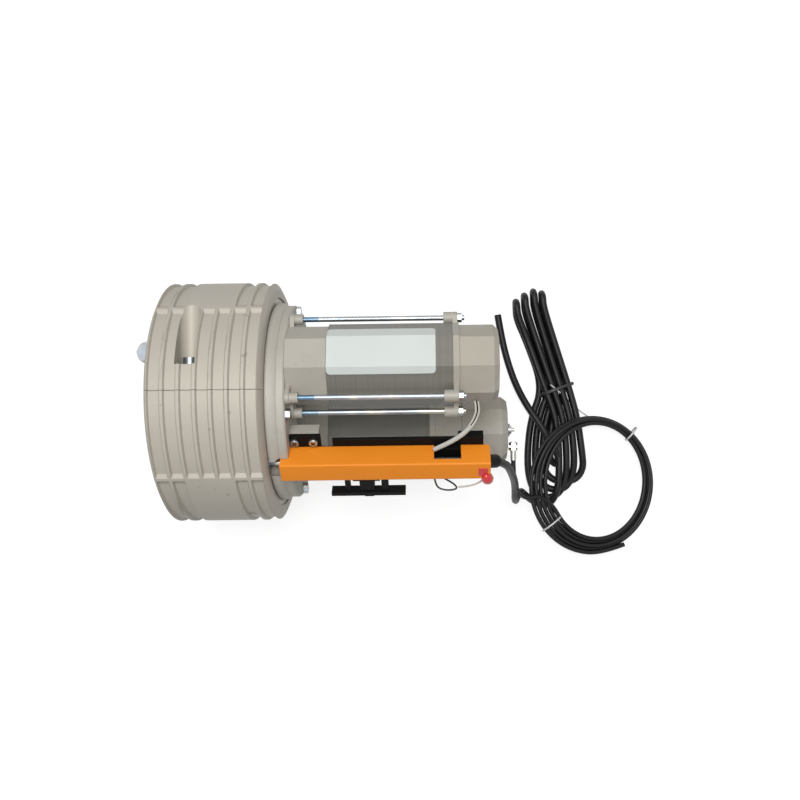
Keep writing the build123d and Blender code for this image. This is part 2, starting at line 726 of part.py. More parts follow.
def lock_bar():
    y0, y1 = lock_bar_y
    bar_ = slab(*lock_bar_x, y0, y1, *lock_bar_z)
    for x0, x1 in lock_legs:
        bar_ += slab(x0, x1, y1 - 1, -case_half + case_wall - 0.2, *lock_leg_z)
    bar_ += slab(191.6, 200.6, y0 - 3, y0 + 1, 96, 101)
    return round_shaft(limit_turn, bar_)


def outlet_gland():
    """Strain relief that leads the supply cable down from the end wall of the case."""
    x, y, z = mains_route[0]
    lead = Plane(origin=(x, y, z), z_dir=(1, 0, -1))
    gland = lead * Pos(0, 0, -14) * Cylinder(6.5, 14, align=up)
    gland -= slab(case_x1 - 30, case_x1, y - 20, y + 20, z - 20, z + 30)
    return gland


def release_cap():
    """Red cap on the end of the case."""
    cap = slab(303.0, 313.5, -case_half - 5.5, -case_half, 92, 103)
    cap = fillet(cap.edges().filter_by(Axis.Z), 2.4)
    return round_shaft(limit_turn, cap)


def cord_radii(points):
    radii = []
    for a, b, c in zip(points, points[1:], points[2:]):
        before, after = Vector(*b) - Vector(*a), Vector(*c) - Vector(*b)
        half = radians(before.get_angle(after)) / 2
        radii.append(0.45 * min(before.length, after.length) / tan(half))
    return radii


def cord_tube(name, points, diameter):
    """Straight runs joined by tangent arcs, swept with a round section."""
    radii = cord_radii(points)
    path = FilletPolyline(*points, radius=radii)
    start = Plane(origin=path @ 0, z_dir=path % 0)
    tube = sweep(start * Circle(diameter / 2), path=path)
    section = pi * diameter**2 / 4
    print(name, "length", round(path.length, 1), "radii", [round(r) for r in radii],
          "volume ratio", round(tube.volume / (section * path.length), 4))
    return tube


adjuster_x = lever_x + lever_t + wire_gap
adjuster_z = -motor_z + lever_arm
mains_route = ((318, -62, 62), (332, -62.5, 48), (341, -68, 22), (343, -88, -20),
               (345, -110, -54), (351, -117, -86), (372, -109, -112))
bowden_route = ((adjuster_x, adjuster_y[0], adjuster_z), (adjuster_x, -82, adjuster_z),
                (346.5, -95, -48), (352, -103, -60), (362, -107, -75), (375, -107, -86))
sleeve_route = ((260, -50.2, 72.2), (274, -43.6, 75.7), (288, -34.9, 75.8), (297, -23, 70), (301, -5.9, 62))

hank_top = floor_z + 16.0
hank_outline = ((352, 122), (362, 133), (378, 131), (387, 118), (391, 70), (386, 15), (402, -22),
                (428, -52), (431, -84), (412, -110), (386, -118), (366, -108), (359, -76),
                (365, -30), (362, 15), (354, 66))


def mains_hank():
    """Outer shape of the bundled supply cable, lying on the floor."""
    face = make_face(Spline(*hank_outline, periodic=True))
    hank = extrude(Plane.XY.offset(floor_z) * face, hank_top - floor_z)
    return fillet(hank.edges().group_by(Axis.Z)[-1], 5)


coil_centre = (436.5, -93.8)
coil_half = (76.5, 80.5)
coil_width = 20.0
coil_thick = 11.0
coil_tilt = 11.8


def bowden_coil():
    """Outer shape of the coiled release cable, lying over the hank."""
    ring = Ellipse(*coil_half) - Ellipse(coil_half[0] - coil_width, coil_half[1] - coil_width)
    coil = extrude(ring, coil_thick)
    coil = fillet(coil.edges().group_by(Axis.Z)[-1], 4)
    lift = floor_z + 0.3 + coil_half[0] * sin(radians(coil_tilt))
    return Pos(*coil_centre, lift) * Rot(0, coil_tilt, 0) * coil


def bowden_end():
    """Threaded adjuster of the release cable with its two lock nuts."""
    y0, y1 = adjuster_y
    piece = cross_bar(y0, y1, adjuster_r, adjuster_x, adjuster_z)
    for y in (bracket_y + bracket_t / 2, bracket_y - bracket_t / 2 - 3):
        nut = Pos(adjuster_x, y, adjuster_z) * Rot(-90, 0, 0) * extrude(RegularPolygon(4.6, 6), 3)
        piece += nut
    return piece


def brake_bracket():
    """Angle on the brake's end face that holds the adjuster."""
    y0, y1 = bracket_y - bracket_t / 2, bracket_y + bracket_t / 2
    x1 = adjuster_x + 6
    bracket = slab(brake_end, x1, y0, y1, adjuster_z - 7, adjuster_z + 6)
    bracket += slab(brake_end, brake_end + 2, y0 - 8, y1, adjuster_z - 14, adjuster_z - 5)
    return bracket - cross_bar(y0 - 1, y1 + 1, adjuster_r + 0.1, adjuster_x, adjuster_z)


def brake_lever():
    """Release lever on its pin; the wire pulls its tip towards the adjuster."""
    x0, x1 = lever_x, lever_x + lever_t
    face = Pos(-motor_y, -motor_z) * Circle(7)
    face += Pos(-motor_y, adjuster_z) * Circle(4.5)
    face += Pos(-motor_y, (adjuster_z - motor_z) / 2) * Rectangle(7, lever_arm)
    lever = extrude(Plane.YZ.offset(x0) * face, x1 - x0)
    lever += bar(brake_end - 4, x1 + 2, lever_pin_r, -motor_y, -motor_z)
    lever += bar(x1 - 1, adjuster_x + 1.5, 2.0, -motor_y, adjuster_z)
    return lever


def save(node, shape):
    if isinstance(shape, (list, tuple)):
        shape = Compound(list(shape))
    export_step(shape, f"parts/{node}.step")


def main():
    os.makedirs("parts", exist_ok=True)
    upper, lower = drum_halves()
    save("drum_upper_half", upper)
    save("drum_lower_half", lower)
    save("drum_joint_screws", drum_joint_screws())
    ring_upper, ring_lower = ring_gear_halves()
    save("ring_gear_upper_half", ring_upper)
    save("ring_gear_lower_half", ring_lower)
    save("ring_gear_screws", ring_gear_screws())
    save("limit_ring", limit_ring())

    save("gearbox_body", gearbox_body())
    save("shaft_clamp_cap", shaft_clamp_cap())
    save("clamp_bolt", clamp_bolt())
    save("clamp_washer", clamp_washer())
    save("gearbox_cover", gearbox_cover())
    save("cover_screws", cover_screws())
    save("slide_ring_left", slide_ring_left())
    save("slide_ring_right", slide_ring_right())
    save("layshaft_1", layshaft(0))
    save("layshaft_2", layshaft(180))

    for number, (x0, x1, x2) in ((1, motor_1), (2, motor_2)):
        place = other_side if number == 2 else (lambda shape: shape)
        rear = x2 - 16
        save(f"motor{number}_front_shield", place(front_shield(x0)))
        save(f"motor{number}_stator", place(stator(x0, x1)))
        save(f"motor{number}_windings", place(windings(x0, x1)))
        save(f"motor{number}_end_bell", place(end_bell(x1, x2, rear, open_end=number == 2)))
        save(f"motor{number}_tie_rods", place(tie_rods(x1)))
        save(f"motor{number}_nuts", place(tie_nuts(x1)))
        bearings = [bearing(cover_x1 + 2), bearing(rear)]
        save(f"motor{number}_bearings", place(Compound(bearings)))
        shaft_end = rear + bearing_w if number == 1 else brake_end - 27
        save(f"motor{number}_rotor", rotor(180 * (number - 1), x0, x1, shaft_end))
    save("brake_cover", other_side(brake_cover()))
    save("brake_coil", other_side(brake_coil()))
    save("brake_armature", other_side(brake_armature()))
    save("brake_disc", other_side(brake_disc()))
    save("brake_bracket", brake_bracket())
    save("brake_lever", brake_lever())

    save("limit_case", limit_case())
    save("limit_base", limit_base())
    save("limit_base_screws", base_screws())
    save("limit_screw", limit_screw())
    save("limit_nut_down", limit_nut(nut_pair_x[0]))
    save("limit_nut_up", limit_nut(nut_pair_x[1]))
    save("limit_switches", limit_switches())
    save("lock_guide", lock_guide())
    save("lock_bar", lock_bar())
    save("outlet_gland", outlet_gland())
    save("red_cap", release_cap())

    save("mains_cable", cord_tube("mains_cable", mains_route, mains_d))
    save("mains_hank", mains_hank())
    save("bowden_end", bowden_end())
    save("bowden_sheath", cord_tube("bowden_sheath", bowden_route, bowden_d))
    save("bowden_coil", bowden_coil())
    save("lead_sleeve", cord_tube("lead_sleeve", sleeve_route, sleeve_d))


if __name__ == "__main__":
    main()
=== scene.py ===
import json
from math import cos, pi, radians, sin, tan

import bmesh
import bpy
from bpy.props import FloatProperty, FloatVectorProperty, PointerProperty
from mathutils import Matrix, Vector


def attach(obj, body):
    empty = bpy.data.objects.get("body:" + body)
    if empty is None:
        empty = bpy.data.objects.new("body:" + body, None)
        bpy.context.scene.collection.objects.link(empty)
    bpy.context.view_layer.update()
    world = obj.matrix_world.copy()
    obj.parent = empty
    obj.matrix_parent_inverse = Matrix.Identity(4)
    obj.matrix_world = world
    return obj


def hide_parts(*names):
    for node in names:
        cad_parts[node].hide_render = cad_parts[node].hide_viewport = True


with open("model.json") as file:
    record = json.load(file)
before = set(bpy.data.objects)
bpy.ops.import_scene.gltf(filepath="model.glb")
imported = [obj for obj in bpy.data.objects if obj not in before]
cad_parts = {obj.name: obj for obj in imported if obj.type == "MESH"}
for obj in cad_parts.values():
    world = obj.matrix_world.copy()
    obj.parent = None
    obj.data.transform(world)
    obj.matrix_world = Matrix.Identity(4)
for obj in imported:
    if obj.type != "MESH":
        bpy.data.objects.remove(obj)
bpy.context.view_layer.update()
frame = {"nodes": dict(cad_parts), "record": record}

bl_info = {
    "name": "Roller shutter drive",
    "version": (1, 0, 0),
    "blender": (4, 5, 0),
    "location": "View3D > Sidebar > Shutter drive",
    "description": "Dresses the drive's solids with finishes, cords, ties and small parts",
    "category": "Object",
}

body_of_node = {node: body for body, nodes in frame["record"]["behaviour"]["bodies"].items()
                for node in nodes}
finishes = {}

# Places, in metres, as the drive's solids have them
FLOOR_Z = -0.120
MOTOR_Y, MOTOR_Z = 0.031175, 0.061556
BOX_TURN = radians(42.5)
LABEL_X, LABEL_LENGTH = 0.1614, 0.1005
BASE_SCREWS_X = 0.1272, 0.1449
THIN_WIRE = 0.0009


def paint(red, green, blue):
    """Screen colour, 0 to 255, as the linear colour that a shader takes."""
    def linear(value):
        value /= 255
        return value / 12.92 if value <= 0.04045 else ((value + 0.055) / 1.055) ** 2.4
    return linear(red), linear(green), linear(blue)


def colour_property(name, what, red, green, blue):
    return FloatVectorProperty(name=name, description=what, subtype="COLOR", size=3,
                               min=0, max=1, default=paint(red, green, blue))


def length_property(name, what, metres):
    return FloatProperty(name=name, description=what, default=metres, unit="LENGTH",
                         subtype="DISTANCE", precision=5)


class DriveColours(bpy.types.PropertyGroup):
    drum: colour_property("Drum", "Cast and machined drum", 192, 186, 174)
    housing: colour_property("Housing", "Die-cast motor housings", 180, 176, 166)
    stator: colour_property("Stator", "Lacquered laminations", 120, 118, 110)
    zinc: colour_property("Zinc", "Plated screws and rods", 158, 164, 170)
    orange: colour_property("Box cover", "Moulded cover of the limit switch", 255, 150, 40)
    black: colour_property("Black plastic", "Moulded base and blocks", 15, 15, 15)
    sheath: colour_property("Cable sheath", "Sheath of both cables", 11, 12, 11)
    red: colour_property("Red cap", "Glossy cap at the box's end", 214, 24, 28)
    sleeve: colour_property("Sleeve", "Woven sleeve of the motor leads", 228, 226, 220)
    label: colour_property("Label", "Bare plate on the upper motor", 216, 222, 218)


class DriveSizes(bpy.types.PropertyGroup):
    supply_cable: length_property("Supply cable", "Diameter of the supply cable", 0.008)
    release_cable: length_property("Release cable", "Diameter of the release cable", 0.005)
    sleeve: length_property("Lead sleeve", "Diameter of the sleeve", 0.0046)
    lead: length_property("Lead", "Diameter of one motor lead", 0.0022)
    tie_wire: length_property("Tie wire", "Diameter of the ties' wire", 0.0012)
    coil_turns: FloatProperty(name="Coil turns", description="Turns of the release cable's coil",
                              default=4.33, min=2, max=8)
    label_thickness: length_property("Label thickness", "Plate on the upper motor", 0.0004)


class Line:
    """Output of a shader node that takes part in sums."""

    def __init__(self, finish, socket):
        self.finish, self.socket = finish, socket

    def _sum(self, operation, first, second):
        return self.finish.add("ShaderNodeMath", {"operation": operation}, {0: first, 1: second})

    def __add__(self, other):
        return self._sum("ADD", self, other)

    def __radd__(self, other):
        return self._sum("ADD", other, self)

    def __mul__(self, other):
        return self._sum("MULTIPLY", self, other)

    def __rmul__(self, other):
        return self._sum("MULTIPLY", other, self)

    def __gt__(self, other):
        return self._sum("GREATER_THAN", self, other)

    def __lt__(self, other):
        return self._sum("LESS_THAN", self, other)


class Finish:
    """Material built from nodes, with a principled shader at its end."""

    def __init__(self, name):
        self.material = bpy.data.materials.new(name)
        self.material.use_nodes = True
        self.tree = self.material.node_tree
        self.tree.nodes.clear()

    def add(self, kind, settings=None, sockets=None, out=0):
        node = self.tree.nodes.new(kind)
        for name, value in (settings or {}).items():
            if name == "stops":
                ramp = node.color_ramp.elements
                while len(ramp) < len(value):
                    ramp.new(0.5)
                for stop, (place, shade) in zip(ramp, value):
                    stop.position = place
                    stop.color = (*shade, 1)
            else:
                setattr(node, name, value)
        for name, value in (sockets or {}).items():
            socket = node.inputs[name]
            if isinstance(value, Line):
                self.tree.links.new(value.socket, socket)
            elif socket.type == "RGBA" and len(value) == 3:
                socket.default_value = (*value, 1)
            else:
                socket.default_value = value
        return None if out is None else Line(self, node.outputs[out])

    def place(self):
        return self.add("ShaderNodeTexCoord", out="Object")

    def stretched(self, vector, scale):
        return self.add("ShaderNodeVectorMath", {"operation": "MULTIPLY"},
                        {0: vector, 1: scale})

    def grain(self, vector, scale, detail):
        return self.add("ShaderNodeTexNoise", None,
                        {"Vector": vector, "Scale": scale, "Detail": detail, "Roughness": 0.55})

    def ramp(self, value, *stops):
        return self.add("ShaderNodeValToRGB", {"stops": stops}, {0: value})

    def blend(self, factor, first, second):
        """Colour between two colours."""
        node = self.tree.nodes.new("ShaderNodeMix")
        node.data_type = "RGBA"
        for index, value in ((0, factor), (6, first), (7, second)):
            socket = node.inputs[index]
            if isinstance(value, Line):
                self.tree.links.new(value.socket, socket)
            elif index == 0:
                socket.default_value = value
            else:
                socket.default_value = (*value, 1)
        return Line(self, node.outputs[2])

    def rounded(self, radius):
        """Normal that is rounded over sharp edges."""
        return self.add("ShaderNodeBevel", {"samples": 4}, {"Radius": radius})

    def bumped(self, height, depth, normal=None):
        sockets = {"Height": height, "Distance": depth, "Strength": 1.0}
        if normal is not None:
            sockets["Normal"] = normal
        return self.add("ShaderNodeBump", None, sockets)

    def shade(self, **sockets):
        """Principled shader with the given sockets, joined to the output."""
        named = {name.replace("_", " "): value for name, value in sockets.items()}
        shader = self.add("ShaderNodeBsdfPrincipled", None, named)
        self.add("ShaderNodeOutputMaterial", None, {"Surface": shader}, out=None)
        return self.material


def tinted(colour, factor):
    return tuple(min(1.0, value * factor) for value in colour)


def cast_metal(name, colour, stain=0.10, warm=None):
    """Cast metal: sand-like skin, cloudy tone, pits and rounded edges."""
    f = Finish(name)
    at = f.place()
    cloud = f.grain(at, 38, 4)
    fine = f.grain(at, 900, 2)
    pits = f.grain(at, 260, 2)
    tone = f.blend(cloud, tinted(colour, 1 - stain), tinted(colour, 1 + stain))
    if warm:
        tone = f.blend((f.grain(at, 16, 2) > 0.56) * 0.25, tone, warm)
    speck = f.blend((pits > 0.70) * 0.35, tone, tinted(colour, 0.55))
    rough = 0.44 + 0.16 * cloud + 0.06 * fine
    normal = f.bumped(fine + 0.8 * pits, 0.00006, f.rounded(0.0009))
    return f.shade(Base_Color=speck, Metallic=0.12, Roughness=rough, Normal=normal,
                   Specular_IOR_Level=0.3)


def drum_metal(name, colour):
    """Cast drum whose rims and grooves were turned: fine rings round the shaft."""
    f = Finish(name)
    at = f.place()
    cloud = f.grain(at, 22, 4)
    fine = f.grain(at, 700, 2)
    pits = f.grain(f.stretched(at, (1.0, 1.3, 1.0)), 95, 1)
    rings = f.grain(f.stretched(at, (2600, 6, 6)), 1.0, 2)
    tone = f.blend(cloud, tinted(colour, 0.93), tinted(colour, 1.05))
    tone = f.blend((pits > 0.735) * 0.5, tone, tinted(colour, 0.5))
    rough = 0.40 + 0.14 * cloud + 0.08 * rings
    normal = f.bumped(fine * 0.5 + rings * 0.5, 0.00006, f.rounded(0.0012))
    return f.shade(Base_Color=tone, Metallic=0.10, Roughness=rough, Normal=normal,
                   Specular_IOR_Level=0.3)


def plated(name, colour, rough=0.28, blue_end=None):
    """Bright zinc plating with a faint blue and yellow cast, bluer at one end of the rods."""
    f = Finish(name)
    at = f.place()
    cloud = f.grain(at, 120, 3)
    drift = f.grain(at, 45, 2)
    scratch = f.grain(f.stretched(at, (60, 900, 900)), 1.0, 2)
    tone = f.ramp(drift, (0.36, tinted(colour, 0.86)), (0.52, colour),
                  (0.70, paint(196, 192, 176)))
    if blue_end:
        along = f.add("ShaderNodeSeparateXYZ", None, {0: at}, out="X")
        tone = f.blend((along < blue_end) * 0.7, tone, paint(70, 112, 140))
    normal = f.bumped(scratch, 0.00003, f.rounded(0.0005))
    return f.shade(Base_Color=tone, Metallic=0.95, Roughness=rough + 0.14 * cloud, Normal=normal)


def laminated(name, colour):
    """Stack of thin plates under dark lacquer, with runs along the stack."""
    f = Finish(name)
    at = f.place()
    plates = f.grain(f.stretched(at, (1500, 2, 2)), 1.0, 1)
    runs = f.grain(f.stretched(at, (8, 90, 90)), 1.0, 3)
    tone = f.blend(runs, tinted(colour, 0.82), tinted(colour, 1.14))
    tone = f.blend((plates > 0.60) * 0.35, tone, tinted(colour, 0.45))
    normal = f.bumped(plates, 0.00012, f.rounded(0.0008))
    return f.shade(Base_Color=tone, Metallic=0.15, Roughness=0.30 + 0.25 * runs, Normal=normal,
                   Coat_Weight=0.10, Coat_Roughness=0.25)


def moulded(name, colour, rough, grain=0.00003, gloss=0.15, edge=0.0008, shine=0.5):
    """Moulded plastic with a fine spark-eroded skin."""
    f = Finish(name)
    at = f.place()
    fine = f.grain(at, 1500, 2)
    cloud = f.grain(at, 30, 3)
    tone = f.blend(cloud, tinted(colour, 0.95), tinted(colour, 1.04))
    normal = f.bumped(fine, grain, f.rounded(edge))
    return f.shade(Base_Color=tone, Roughness=rough - 0.05 + 0.10 * cloud, Normal=normal,
                   Coat_Weight=gloss, Coat_Roughness=0.2, Specular_IOR_Level=shine)


def sheathed(name, colour):
    """Extruded cable sheath: satin, with faint marks along it and dust."""
    f = Finish(name)
    along = f.add("ShaderNodeTexCoord", out="UV")
    marks = f.grain(f.stretched(along, (3, 40, 1)), 1.0, 2)
    dust = f.grain(f.place(), 160, 3)
    tone = f.blend((dust > 0.62) * 0.15, colour, tinted(colour, 2.0))
    normal = f.bumped(marks, 0.00006)
    return f.shade(Base_Color=tone, Roughness=0.34 + 0.16 * dust, Normal=normal,
                   Specular_IOR_Level=0.30)


def woven(name, colour):
    """Braided glass sleeve: two crossing sets of fine threads."""
    f = Finish(name)
    at = f.place()
    one = f.add("ShaderNodeTexWave", {"bands_direction": "DIAGONAL"},
                {"Vector": at, "Scale": 420.0, "Distortion": 0.6})
    two = f.add("ShaderNodeTexWave", {"bands_direction": "DIAGONAL"},
                {"Vector": f.stretched(at, (-1, 1, 1)), "Scale": 420.0, "Distortion": 0.6})
    weave = one * two
    tone = f.blend(weave, tinted(colour, 0.72), tinted(colour, 1.06))
    return f.shade(Base_Color=tone, Roughness=0.62, Normal=f.bumped(weave, 0.0003))


def wound(name, colour):
    """Enamelled copper wire in close turns."""
    f = Finish(name)
    at = f.place()
    strands = f.add("ShaderNodeTexWave", {"bands_direction": "X"},
                    {"Vector": at, "Scale": 260.0, "Distortion": 1.2})
    tone = f.blend(strands, tinted(colour, 0.5), colour)
    return f.shade(Base_Color=tone, Metallic=0.7, Roughness=0.35, Normal=f.bumped(strands, 0.0004))


def oiled(name, colour):
    """Machined gear steel with a film of grease."""
    f = Finish(name)
    at = f.place()
    marks = f.grain(f.stretched(at, (900, 40, 40)), 1.0, 2)
    film = f.grain(at, 60, 3)
    tone = f.blend((film > 0.55) * 0.4, colour, paint(96, 82, 58))
    return f.shade(Base_Color=tone, Metallic=0.9, Roughness=0.25 + 0.2 * marks,
                   Normal=f.bumped(marks, 0.00004, f.rounded(0.0004)), Coat_Weight=0.3)


def lining(name, colour):
    """Brake lining with brass chips."""
    f = Finish(name)
    at = f.place()
    chips = f.add("ShaderNodeTexVoronoi", None, {"Vector": at, "Scale": 700.0})
    tone = f.blend((f.grain(at, 420, 2) > 0.6) * 0.6, colour, paint(120, 96, 60))
    return f.shade(Base_Color=tone, Roughness=0.8, Normal=f.bumped(chips, 0.0002))


def make_finishes():
    c = bpy.context.scene.drive_colours
    finishes.update(
        drum=drum_metal("drum_cast", c.drum),
        housing=cast_metal("housing_cast", c.housing, warm=paint(172, 158, 136)),
        gearbox=cast_metal("gearbox_cast", tinted(c.housing, 1.10), stain=0.12),
        stator=laminated("stator_lacquer", c.stator),
        zinc=plated("zinc_plate", c.zinc),
        rod=plated("rod_plate", c.zinc, blue_end=0.15),
        steel=oiled("gear_steel", paint(150, 150, 152)),
        bearing=plated("bearing_steel", paint(186, 188, 192), 0.18),
        orange=moulded("orange_moulding", c.orange, 0.42, gloss=0.04, edge=0.0011, shine=0.25),
        black=moulded("black_moulding", c.black, 0.5, grain=0.00006, gloss=0.0, shine=0.12),
        nylon=moulded("white_nylon", paint(222, 220, 210), 0.5),
        red=moulded("red_cap_plastic", c.red, 0.18, grain=0.00001, gloss=0.6),
        sheath=sheathed("cable_sheath", c.sheath),
        sleeve=woven("braided_sleeve", c.sleeve),
        lead=moulded("lead_insulation", paint(216, 208, 198), 0.4),
        dark_lead=moulded("dark_lead_insulation", paint(30, 30, 32), 0.4),
        copper=wound("winding_copper", paint(176, 92, 48)),
        lining=lining("brake_lining", paint(52, 46, 40)),
        tie=moulded("clear_tie", paint(214, 216, 220), 0.3, grain=0.00001, gloss=0.4),
        label=moulded("bare_label", c.label, 0.46, grain=0.00001, gloss=0.1, edge=0.0002),
    )


# Pieces

def keep(piece, finish, body, *nodes, slot=None):
    """Gives a finished piece its material and its body, and hides the solids that it stands for.
    """
    piece.data.materials.clear()
    piece.data.materials.append(finishes[finish])
    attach(piece, body)
    if nodes:
        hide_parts(*nodes)
    return piece


def linked(name, data):
    piece = bpy.data.objects.new(name, data)
    bpy.context.scene.collection.objects.link(piece)
    return piece


def from_bmesh(name, bm, sharp=35):
    for face in bm.faces:
        face.smooth = True
    for edge in bm.edges:
        edge.smooth = edge.calc_face_angle(0.0) < radians(sharp)
    mesh = bpy.data.meshes.new(name)
    bm.to_mesh(mesh)
    bm.free()
    if "custom_normal" in mesh.attributes:
        mesh.attributes.remove(mesh.attributes["custom_normal"])
    return linked(name, mesh)


def dress(node, finish, sharp=32):
    """Merged copy of a solid, smooth over its curves and crisp at its edges."""
    bm = bmesh.new()
    bm.from_mesh(frame["nodes"][node].data)
    bmesh.ops.remove_doubles(bm, verts=bm.verts, dist=1e-6)
    piece = from_bmesh(node + "_dressed", bm, sharp)
    return keep(piece, finish, body_of_node[node], node)


def finish_only(node, finish):
    """Sealed inner solid: it keeps its shape and gets its material."""
    mesh = frame["nodes"][node].data
    mesh.materials.clear()
    mesh.materials.append(finishes[finish])


def moved(bm, matrix):
    bmesh.ops.transform(bm, matrix=matrix, verts=bm.verts)


def turned_piece(name, outline, matrix):
    """Solid of revolution given by (along, radius) points, placed by a matrix."""
    bm = bmesh.new()
    first = [bm.verts.new((along, 0, radius)) for along, radius in outline]
    edges = [bm.edges.new(pair) for pair in zip(first, first[1:])]
    bmesh.ops.spin(bm, geom=first + edges, cent=(0, 0, 0), axis=(1, 0, 0), steps=40,
                   angle=2 * pi, use_merge=True)
    bmesh.ops.remove_doubles(bm, verts=bm.verts, dist=1e-7)
    bmesh.ops.recalc_face_normals(bm, faces=bm.faces)
    moved(bm, matrix)
    return from_bmesh(name, bm)


def towards(point, direction):
    """Matrix that sets X along a direction at a point."""
    turn = Vector(direction).to_track_quat("X", "Z").to_matrix().to_4x4()
    return Matrix.Translation(point) @ turn


def joined(name, pieces):
    """One object out of several meshes made for it."""
    bm = bmesh.new()
    for piece in pieces:
        bm.from_mesh(piece.data)
        mesh = piece.data
        bpy.data.objects.remove(piece)
        bpy.data.meshes.remove(mesh)
    mesh = bpy.data.meshes.new(name)
    bm.to_mesh(mesh)
    bm.free()
    return linked(name, mesh)


def block(name, low, high, bevel, matrix, segments=2):
    """Small moulded block with rounded edges."""
    bm = bmesh.new()
    bmesh.ops.create_cube(bm, size=1)
    size = Vector(high) - Vector(low)
    moved(bm, Matrix.Translation((Vector(low) + Vector(high)) / 2) @ Matrix.Diagonal((*size, 1)))
    bmesh.ops.bevel(bm, geom=bm.edges[:], offset=bevel, segments=segments, profile=0.5,
                    affect="EDGES", material=-1)
    moved(bm, matrix)
    return from_bmesh(name, bm, 50)


def in_box():
    """From the limit switch's upright place to its place beside the motors."""
    return Matrix.Rotation(BOX_TURN, 4, "X")


def route(name, points, radius, sides=6):
    """Round cord on a smooth spline through its control points, in metres."""
    curve = bpy.data.curves.new(name, "CURVE")
    curve.dimensions = "3D"
    curve.bevel_depth = radius
    curve.bevel_resolution = sides
    curve.use_fill_caps = True
    curve.resolution_u = 10
    spline = curve.splines.new("NURBS")
    spline.points.add(len(points) - 1)
    for point, place in zip(spline.points, points):
        point.co = (*place, 1)
    spline.order_u = 3
    spline.use_endpoint_u = True
    return linked(name, curve)


def run_length(piece):
    """Length of a cord's own line, read from its spline without its thickness."""
    bare = piece.data.copy()
    bare.bevel_depth = 0
    holder = bpy.data.objects.new("measured_line", bare)
    mesh = bpy.data.meshes.new_from_object(holder)
    places = [v.co.copy() for v in mesh.vertices]
    length = sum((b - a).length for a, b in zip(places, places[1:]))
    bpy.data.objects.remove(holder)
    bpy.data.meshes.remove(mesh)
    bpy.data.curves.remove(bare)
    return length


def millimetres(points):
    return [tuple(value / 1000 for value in point) for point in points]


SUPPLY_ROUTE = (
    (318, -62, 62), (329, -65, 48), (335.5, -74, 24), (343, -88, -20), (345, -110, -54),
    (350, -106, -88), (356, -100, -108), (360, -103.5, -115.5),
    (368.3, -111.3, -116), (381, -118.2, -116), (392.2, -114.6, -113), (399.5, -97.1, -107.5),
    (400.6, -58.2, -107.5), (397.8, -18.2, -107.5), (384.6, 18.4, -107.5),
    (366.2, 70.8, -106), (354.4, 99.7, -101), (353.8, 110.9, -99.5), (353, 115.1, -105),
    (353.6, 116.2, -112), (354, 111.1, -116), (354.5, 97.2, -116), (365.5, 71.9, -116),
    (383.9, 18.9, -116), (369.5, -18, -116), (364.9, -58.3, -116), (366, -84.8, -116),
    (372.9, -103.3, -116), (387.9, -110.2, -116), (401.7, -104.4, -116), (408.7, -87, -112),
    (409.2, -58.2, -107.5), (405.8, -18.2, -107.5), (393.8, 18.4, -107.5),
    (375.9, 70.8, -106), (364, 106.6, -101), (363.4, 117.7, -99.5), (362.7, 122, -105),
    (363.3, 123.1, -112), (363.8, 118, -116), (364.3, 104.1, -116), (375.2, 71.9, -116),
    (393.1, 18.9, -116), (377.8, -18, -116), (373.4, -58.3, -116), (375.2, -80.2, -116),
    (383.3, -96.4, -116), (398.3, -101, -116), (411, -96.4, -116), (417.3, -80.1, -112),
    (417.8, -58.2, -107.5), (413.8, -18.2, -107.5), (402.9, 18.4, -107.5),
    (386.2, 70.8, -106), (374.2, 111.1, -101), (373.6, 122.2, -99.5), (372.9, 126.5, -105),
    (373.7, 127.7, -112), (374.1, 122.6, -116), (374.7, 108.7, -116), (385.6, 71.9, -116),
    (402.3, 18.9, -116), (386.1, -18, -116), (381.9, -58.3, -116), (383.3, -75.6, -116),
    (392.5, -88.3, -116), (407.5, -91.2, -116), (421.3, -88.3, -116), (428.8, -75.5, -112),
    (426.9, -58.2, -107.5), (421.8, -18.2, -107.5), (412.1, 18.4, -107.5),
    (395.9, 70.8, -106), (383.9, 108.8, -101), (383.3, 119.9, -99.5), (382.6, 124.2, -105),
    (383.4, 125.4, -112), (383.9, 120.3, -116), (384.5, 106.4, -116), (395.4, 71.9, -116),
    (411.5, 18.9, -116), (394.4, -18, -116), (390, -50, -116), (391, -66, -115),
    (399, -72, -111), (400, -62, -107), (391, -45, -104), (377, -22, -104), (364, -3, -107),
    (352, 22, -114), (343, 50, -116), (337, 76, -116), (332.9, 102.1, -116))

SHEATH_ROUTE = (
    (342.8, -64, -41.556), (342.8, -82, -41.556), (346.5, -95, -48), (352, -103, -60),
    (362, -107, -75))


def coil_point(turn, first, last):
    """Centre of the release cable at a turn of its coil, which lies over the hank."""
    share = (turn - first) / (last - first)
    angle = 2 * pi * turn
    inner = Vector((0.4416 - 0.0557 * sin(angle), -0.0900 + 0.0656 * cos(angle)))
    outer = Vector((0.4368 - 0.0742 * sin(angle), -0.0940 + 0.0783 * cos(angle)))
    x, y = inner.lerp(outer, share)
    lean = FLOOR_Z + 0.0029 + (0.5135 - x) * tan(radians(11.8))
    rise = 0.0054 * (0.5 - 0.5 * cos(pi * (turn - (105 / 360 - 0.5))))
    return x, y, lean + rise


def ring_tie(name, centre, along, half_wide, half_high, radius, turns=2):
    """Wire bound round a bundle, in the plane across it."""
    side = Vector(along).normalized().cross(Vector((0, 0, 1))).normalized()
    steps = int(14 * turns)
    points = []
    for k in range(steps + 1):
        angle = 2 * pi * turns * k / steps
        reach = side * (half_wide * cos(angle)) + Vector((0, 0, half_high * sin(angle)))
        drift = Vector(along).normalized() * radius * 2.1 * (k / steps) * (turns - 1 + 0.35)
        points.append(tuple(Vector(centre) + reach + drift))
    return route(name, points, radius, sides=3)


